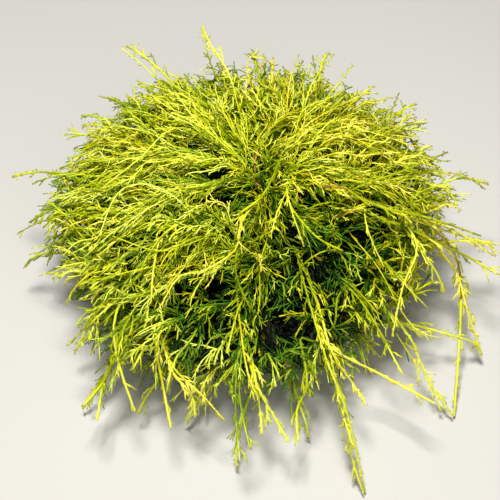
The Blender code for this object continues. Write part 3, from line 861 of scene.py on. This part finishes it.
def tubes(points, roots, sides):
    """Closed tapering tubes with blunt tips, one a row: vertices, triangles and their levels.

    Each ring is turned half a side from the last, so that the facets lie like scale leaves.
    """
    way = unit(points[:, -1] - points[:, -2])
    shoulder = points[:, -1] - way * (roots * CORD_TAPER)[:, None]
    points = np.concatenate([points[:, :-1], shoulder[:, None], points[:, -1:]], axis=1)
    count, rings = points.shape[0], points.shape[1] - 1
    ways = unit(np.gradient(points, axis=1)[:, :rings])
    across = unit(np.cross(ways, np.array((0.31, 0.17, 0.93))))
    lift = np.cross(ways, across)
    shares = np.linspace(1, CORD_TAPER, rings)
    angles = 2 * np.pi * (np.arange(sides)[None, :] + 0.5 * np.arange(rings)[:, None]) / sides
    radii = (roots[:, None] * shares)[:, :, None, None]
    ring = across[:, :, None] * np.cos(angles)[None, :, :, None]
    ring = ring + lift[:, :, None] * np.sin(angles)[None, :, :, None]
    body = points[:, :rings, None] + ring * radii
    vertices = np.concatenate([body.reshape(count, rings * sides, 3), points[:, -1:]], axis=1)
    faces = [(0, side + 1, side) for side in range(1, sides - 1)]
    levels = [0] * len(faces)
    for level in range(rings - 1):
        for side in range(sides):
            a = level * sides + side
            b = level * sides + (side + 1) % sides
            c = (level + 1) * sides + side
            d = (level + 1) * sides + (side - 1) % sides
            faces += [(a, c, d), (a, b, c)]
            levels += [level, level]
    last = (rings - 1) * sides
    faces += [(last + side, last + (side + 1) % sides, rings * sides) for side in range(sides)]
    levels += [rings - 1] * sides
    total = rings * sides + 1
    triangles = np.array(faces)[None] + (np.arange(count) * total)[:, None, None]
    return vertices.reshape(-1, 3), triangles.reshape(-1, 3), levels


class Bundle:
    """Tubes gathered for one joined mesh, each with its materials' numbers."""

    def __init__(self):
        self.vertices = []
        self.triangles = []
        self.numbers = []
        self.total = 0

    def add(self, points, roots, sides, numbers):
        """Adds tubes, one a row. Numbers holds a material for each of a tube's points."""
        vertices, triangles, levels = tubes(points, roots, sides)
        self.vertices.append(vertices)
        self.triangles.append(triangles + self.total)
        self.numbers.append(numbers[:, levels].ravel())
        self.total += len(vertices)

    def build(self, name, materials):
        """One mesh object of all the tubes, kept just above the ground."""
        vertices = np.concatenate(self.vertices)
        triangles = np.concatenate(self.triangles)
        vertices[:, 2] = np.maximum(vertices[:, 2], GROUND_CLEARANCE)
        mesh = bpy.data.meshes.new(name)
        mesh.vertices.add(len(vertices))
        mesh.vertices.foreach_set("co", vertices.ravel())
        mesh.loops.add(triangles.size)
        mesh.loops.foreach_set("vertex_index", triangles.ravel())
        mesh.polygons.add(len(triangles))
        mesh.polygons.foreach_set("loop_start", np.arange(0, triangles.size, 3))
        for material in materials:
            mesh.materials.append(material)
        mesh.polygons.foreach_set("material_index", np.concatenate(self.numbers))
        mesh.update(calc_edges=True)
        mesh.validate()
        mesh.shade_smooth()
        piece = bpy.data.objects.new(name, mesh)
        bpy.context.scene.collection.objects.link(piece)
        return piece


def hollows(bearings, polars, places):
    """How far the dome is pressed in at many places at once."""
    depths = 0
    for place in places:
        turns = ((bearings - place.bearing + 180) % 360 - 180) / place.half_turn
        tilts = (polars - place.polar) / place.half_tilt
        depths = depths + place.depth * np.exp(-(turns**2) - tilts**2)
    return depths


def painted_brightness(places, kind):
    """How bright a place is: 0 deep in the crown, and about 1 on the dome's upper side.

    In the lower front, golden whips are painted brighter than elsewhere, and the others painted darker and
    greener.
    """
    middle = places - np.array(CROWN_MIDDLE)
    depth = np.where(middle[..., 2] < 0, SKIRT_DROP, CROWN_RISE)
    flat = middle[..., :2] / (CROWN_HALF_WIDTH, CROWN_HALF_DEPTH)
    out = np.sqrt((flat**2).sum(-1) + (middle[..., 2] / depth) ** 2)
    height = np.clip(places[..., 2] / (CROWN_MIDDLE.z + CROWN_RISE), 0, 1)
    bearings = np.degrees(np.arctan2(flat[..., 1], flat[..., 0]))
    polars = np.degrees(np.arccos(np.clip(middle[..., 2] / depth / np.maximum(out, 1e-6), -1, 1)))
    # Painted shade inside the crown, partly taken back in the hollows, and painted light on the dome and at
    # its top, over the real change from green inside to gold outside.
    out = out / (1 - HOLLOW_LIGHT * hollows(bearings, polars, HOLLOWS))
    light = (out - SHADE_SHARE) / (1 - SHADE_SHARE) * DOME_LIGHT + height * HEIGHT_LIGHT
    # Painted shade in the lower front and in the dim places, and painted light in the lit places and on the
    # lower front's golden whips.
    shade = hollows(bearings, polars, (SHADE,))
    if kind in GREEN_KINDS:
        change = hollows(bearings, polars, LIT_PLACES) - shade
    else:
        change = shade / SHADE.depth * PAINTED_GOLDEN_LIGHT
    if kind not in DRAPED_KINDS:
        change = change - hollows(bearings, polars, DIM_PLACES)
    return light + LEAST_LIGHT + change


def tint_numbers(places, glow, look):
    """Each point's tint, by its place in the crown, its row's glow and how near its tip it is."""
    tips = np.linspace(0, TIP_GLOW, places.shape[1])
    # The painted light and shade of each place, the row's glow, and the brighter tips.
    shades = painted_brightness(places, look.kind) + np.asarray(glow)[:, None] + tips
    numbers = np.clip(shades * TINTS_IN_FULL_LIGHT, 0, len(TINTS) - 1).astype(int)
    if not look.shift:
        return numbers
    first = SHIFTS[look.shift].first
    own = list(COLOURS).index(next(iter(SHIFTS[look.shift].colours)))
    return np.where(numbers >= first, numbers - first + own, numbers)


def spray_look(whip, fine):
    """A whip's kind, and whether its colours are warm or fresh."""
    middle = (whip.line[-1] - np.array(CROWN_MIDDLE)) / (CROWN_HALF_WIDTH, CROWN_HALF_DEPTH, 1)
    bearing = math.degrees(math.atan2(middle[1], middle[0]))
    depth = SKIRT_DROP if middle[2] < 0 else CROWN_RISE
    polar = math.degrees(math.atan2(math.hypot(middle[0], middle[1]), middle[2] / depth))
    for name, shift in SHIFTS.items():
        if name == "fresh" and whip.kind in DRAPED_KINDS and whip.kind not in GREEN_KINDS:
            continue
        if fine.random() < shift.share + hollow(bearing, polar, shift.places):
            return Look(whip.kind, name)
    return Look(whip.kind, None)


def add_nubs(cords, whip, kind, glow, look, fine):
    """Short blunt nubs on alternate sides of one whip, for most of its length."""
    length = np.linalg.norm(np.diff(whip.line, axis=0), axis=1).sum()
    low, high = NUB_SHARES
    count = int(length * (high - low) / NUB_SPACING)
    shares = low + (high - low) * (np.arange(count) + fine.random(count)) / count
    places, ways = along(np.repeat(whip.line[None], count, axis=0), shares)
    sides = np.where(np.arange(count) % 2, 1.0, -1.0)
    angles = np.radians(fine.uniform(*NUB_ANGLES, count))
    lengths = fine.uniform(*NUB_LENGTHS, count)
    nubs = side_shoots(places, ways, sides, angles, lengths, np.zeros(count), 1, fine)
    tints = tint_numbers(nubs, np.full(count, glow), look)
    cords.add(nubs, np.full(count, kind.radius * NUB_THICKNESS), 3, tints)


def add_shoots(cords, whip, kind, habit, glow, look, fine):
    """The cordlets on alternate sides of one whip, and the sprigs on each cordlet."""
    length = np.linalg.norm(np.diff(whip.line, axis=0), axis=1).sum()
    low, high = kind.shares
    count = max(4, int(length * (high - low) / kind.spacing))
    shares = low + (high - low) * (np.arange(count) + fine.random(count) * 0.8) / count
    places, ways = along(np.repeat(whip.line[None], count, axis=0), shares)
    sides = np.where(np.arange(count) % 2, 1.0, -1.0)
    angles = np.radians(fine.uniform(*kind.angles, count)) * habit.spread
    lengths = fine.uniform(*kind.lengths, count) * (1 - CORDLET_SHORTENING * shares**2)
    lengths = lengths * habit.stretch
    droops = fine.uniform(*habit.droops, count)
    shoots = side_shoots(places, ways, sides, angles, lengths, droops, 3, fine)
    glows = glow + fine.normal(0, 0.17, count)
    tints = tint_numbers(shoots, glows, look)
    cords.add(shoots, np.full(count, kind.thin * habit.girth), 3, tints)
    counts = np.ceil(lengths / (kind.sprigs * habit.plainness)).astype(int)
    parents = np.repeat(np.arange(count), counts)
    number = np.arange(len(parents)) - np.repeat(np.cumsum(counts) - counts, counts)
    first, last = SPRIG_SHARES
    spots = first + (last - first) * (number + fine.random(len(number))) / counts[parents]
    places, ways = along(shoots[parents], spots)
    sides = np.where(number % 2, 1.0, -1.0)
    angles = np.radians(fine.uniform(*SPRIG_ANGLES, len(number))) * habit.spread
    lengths = fine.uniform(*SPRIG_LENGTHS, len(number)) * habit.stretch * (1 - 0.5 * spots)
    droops = fine.uniform(*habit.droops, len(number)) * SPRIG_DROOP
    sprigs = side_shoots(places, ways, sides, angles, lengths, droops, 1, fine)
    tints = tint_numbers(sprigs, glows[parents] + 0.05, look)
    thickness = kind.thin * habit.girth * SPRIG_THICKNESS
    cords.add(sprigs, np.full(len(number), thickness), 3, tints)


def grow_foliage(mains, whips, habit, fine):
    """The cords of one mass: green and golden ones in one bundle, woody ones in another."""
    cords = Bundle()
    wood = Bundle()
    for whip in whips:
        kind = KINDS[whip.kind]
        look = spray_look(whip, fine)
        glow = kind.glow + fine.normal(0, 0.14)
        golden = whip.kind not in GREEN_KINDS
        row = whip.line[None]
        if whip.kind == "woody":
            woody = int(row.shape[1] * WOODY_SHARE)
            wood.add(row[:, :woody], np.array([kind.radius]), 6, np.zeros((1, woody + 1), int))
            row = row[:, woody - 1:]
        tints = tint_numbers(row, [glow], look)
        cords.add(row, np.array([kind.radius * habit.girth]), 4 if golden else 3, tints)
        add_shoots(cords, whip, kind, habit, glow, look, fine)
        if golden:
            add_nubs(cords, whip, kind, glow, look, fine)
        if whip.kind == "main":
            wood.add(row[:, :3], np.array([kind.radius * 1.15]), 6, np.zeros((1, 4), int))
    stem = [mains[0].start - mains[0].leave * STEM_NECK] + draw(mains[0], FINE_STEPS)[:5]
    row = np.array(stem)[None]
    wood.add(row, np.array([STEM_WOOD_RADIUS]), 8, np.zeros((1, len(stem) + 1), int))
    return cords, wood


# Materials

def display(colour):
    """A linear colour from display values of 0 to 255."""
    shares = [value / 255 for value in colour]
    return tuple([((s + 0.055) / 1.055) ** 2.4 if s > 0.04045 else s / 12.92 for s in shares] + [1])


def new_material(name, colour, roughness):
    material = bpy.data.materials.new(name)
    material.use_nodes = True
    shader = material.node_tree.nodes["Principled BSDF"]
    shader.inputs["Base Color"].default_value = display(colour)
    shader.inputs["Roughness"].default_value = roughness
    shader.inputs["Specular IOR Level"].default_value = CORD_SHINE
    return material


def cord_material(name, colour):
    """Living cords: a plain colour, with the fine relief of scale leaves."""
    material = new_material(f"cord_{name}", colour, CORD_ROUGHNESS)
    nodes, links = material.node_tree.nodes, material.node_tree.links
    place = nodes.new("ShaderNodeTexCoord")
    scales = nodes.new("ShaderNodeTexVoronoi")
    scales.inputs["Scale"].default_value = 700
    relief = nodes.new("ShaderNodeBump")
    relief.inputs["Strength"].default_value = 0.35
    relief.inputs["Distance"].default_value = 0.0004
    links.new(place.outputs["Object"], scales.inputs["Vector"])
    links.new(scales.outputs["Distance"], relief.inputs["Height"])
    links.new(relief.outputs["Normal"], nodes["Principled BSDF"].inputs["Normal"])
    return material


def bark_material(name, colour, crevice):
    """Fibrous bark: long ridges, darker between them."""
    material = new_material(name, colour, 0.85)
    nodes, links = material.node_tree.nodes, material.node_tree.links
    place = nodes.new("ShaderNodeTexCoord")
    stretch = nodes.new("ShaderNodeMapping")
    stretch.inputs["Scale"].default_value = (1.0, 1.0, 0.22)
    fibres = nodes.new("ShaderNodeTexNoise")
    fibres.inputs["Scale"].default_value = 420
    fibres.inputs["Detail"].default_value = 6
    ramp = nodes.new("ShaderNodeValToRGB")
    ramp.color_ramp.elements[0].color = display(crevice)
    ramp.color_ramp.elements[0].position = 0.36
    ramp.color_ramp.elements[1].color = display(colour)
    ramp.color_ramp.elements[1].position = 0.60
    relief = nodes.new("ShaderNodeBump")
    relief.inputs["Strength"].default_value = 0.6
    relief.inputs["Distance"].default_value = 0.0008
    links.new(place.outputs["Object"], stretch.inputs["Vector"])
    links.new(stretch.outputs["Vector"], fibres.inputs["Vector"])
    links.new(fibres.outputs["Fac"], ramp.inputs["Fac"])
    links.new(ramp.outputs["Color"], nodes["Principled BSDF"].inputs["Base Color"])
    links.new(fibres.outputs["Fac"], relief.inputs["Height"])
    links.new(relief.outputs["Normal"], nodes["Principled BSDF"].inputs["Normal"])
    return material


# Trunk and boughs

def limb_mesh(name, points, radii, resolution):
    """A tapering limb: a path made round, and turned into a mesh with its caps welded on."""
    bpy.ops.object.select_all(action="DESELECT")
    bpy.ops.curve.primitive_nurbs_path_add(radius=1, location=(0, 0, 0))
    path = bpy.context.object
    path.name = name
    path.data.splines.clear()
    spline = path.data.splines.new("POLY")
    spline.points.add(len(points) - 1)
    for point, place, radius in zip(spline.points, points, radii):
        point.co = (*place, 1)
        point.radius = radius
    path.data.bevel_depth = 1.0
    path.data.bevel_resolution = resolution
    path.data.use_fill_caps = True
    bpy.ops.object.convert(target="MESH")
    limb = bpy.context.object
    bpy.ops.object.mode_set(mode="EDIT")
    bpy.ops.mesh.select_all(action="SELECT")
    bpy.ops.mesh.remove_doubles(threshold=0.00001)
    bpy.ops.mesh.normals_make_consistent(inside=False)
    bpy.ops.object.mode_set(mode="OBJECT")
    bpy.ops.object.shade_smooth()
    return limb


def add_bark_relief(limb, depth):
    """Fibrous ridges pressed into a limb by a displacement along its normals."""
    fibres = bpy.data.textures.new(f"{limb.name}_fibres", "CLOUDS")
    fibres.noise_scale = 0.004
    fibres.noise_depth = 2
    press = limb.modifiers.new("bark_relief", "DISPLACE")
    press.texture = fibres
    press.texture_coords = "LOCAL"
    press.strength = depth
    press.mid_level = 0.6
    bpy.context.view_layer.objects.active = limb
    bpy.ops.object.modifier_apply(modifier=press.name)


def dress_limb(limb, bark, node):
    limb.data.materials.append(bark)
    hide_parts(node)
    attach(limb, "root")


def dress_trunk(bark):
    """The trunk with its root lobes and the relief of its bark, down to the flat cut."""
    heights = [TRUNK_HEIGHT * (i / 40) ** 1.3 for i in range(41)]
    points = [trunk_axis(height) for height in heights]
    trunk = limb_mesh("bark_trunk", points, [trunk_radius(height) for height in heights], 6)
    for vertex in trunk.data.vertices:
        place = vertex.co
        if place.z < TRUNK_NECK_HEIGHT:
            flare = (1 - place.z / TRUNK_NECK_HEIGHT) ** 2
            lobe = 0.5 + 0.5 * math.cos(ROOT_LOBES * math.atan2(place.y, place.x))
            out = Vector((place.x, place.y, 0)).normalized()
            vertex.co = place + out * (ROOT_LOBE_DEPTH * flare * lobe)
    add_bark_relief(trunk, 0.0012)
    for vertex in trunk.data.vertices:
        if vertex.co.z < 0.0006:
            vertex.co.z = 0
    dress_limb(trunk, bark, "trunk")


def dress_bough(name, bark):
    cord = bough(name, 20)
    limb = limb_mesh(f"bark_{name}", cord.points, cord.radii, 3)
    add_bark_relief(limb, 0.0008)
    dress_limb(limb, bark, f"bough_{name}")


def dress_foliage(name, mains, draped, cord_finishes, twig):
    """One mass: its fine cords, and the woody roots of its whips, each as one joined mesh."""
    place = list(MASSES).index(name)
    rng = random.Random(SEED * 100 + place)
    fine = np.random.default_rng([SEED, place])
    whips = mass_whips(name, mains, rng, fine) + draped
    cords, wood = grow_foliage(mains, whips, HABITS[MASSES[name].tier], fine)
    for title, bundle, finishes, slot in (
        (f"cords_{name}", cords, cord_finishes, "foliage"),
        (f"twigs_{name}", wood, [twig], "bark"),
    ):
        piece = bundle.build(title, finishes)
        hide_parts(f"foliage_{name}")
        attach(piece, "root")


# Stage

def add_camera():
    away = heading(CAMERA_BEARING, CAMERA_ELEVATION) * CAMERA_DISTANCE
    bpy.ops.object.camera_add(location=CAMERA_AIM + away)
    camera = bpy.context.object
    camera.rotation_euler = (-away).to_track_quat("-Z", "Y").to_euler()
    camera.data.lens = CAMERA_LENS
    camera.data.sensor_width = CAMERA_SENSOR
    bpy.context.scene.camera = camera


def add_floor():
    bpy.ops.object.select_all(action="DESELECT")
    bpy.ops.mesh.primitive_plane_add(size=12, location=(0, 0, 0))
    floor = bpy.context.object
    floor.name = "floor"
    floor.data.materials.append(new_material("pale_floor", FLOOR_COLOUR, 0.8))


def add_light(name, place, size, power, warmth):
    bpy.ops.object.light_add(type="AREA", location=place)
    light = bpy.context.object
    light.name = name
    light.data.size = size
    light.data.energy = power
    light.data.color = warmth
    aim = CROWN_MIDDLE - Vector(place)
    light.rotation_euler = aim.to_track_quat("-Z", "Y").to_euler()


def add_stage():
    """A pale floor, a high key light from the left, a fill from the front and a soft sky."""
    add_floor()
    add_light("key", (-0.12, -0.25, 1.90), 0.3, 47, (1.0, 0.99, 0.95))
    add_light("fill", (0.5, -1.5, 1.4), 1.2, 9, (1.0, 0.99, 0.95))
    world = bpy.data.worlds.new("soft_sky")
    world.use_nodes = True
    world.node_tree.nodes["Background"].inputs["Color"].default_value = (0.98, 0.97, 0.92, 1)
    world.node_tree.nodes["Background"].inputs["Strength"].default_value = 0.07
    bpy.context.scene.world = world
    bpy.context.scene.view_settings.view_transform = "Standard"


add_camera()
add_stage()
bark = bark_material("red_brown_bark", BARK_COLOUR, BARK_CREVICE_COLOUR)
twig = bark_material("orange_twig", TWIG_COLOUR, TWIG_CREVICE_COLOUR)
cord_finishes = [cord_material(name, colour) for name, colour in COLOURS.items()]
dress_trunk(bark)
for name in MASSES:
    if TIERS[MASSES[name].tier].whorls:
        dress_bough(name, bark)
courses = main_courses()
draped = draped_whips(courses)
for name, mains in courses.items():
    dress_foliage(name, mains, draped[name], cord_finishes, twig)
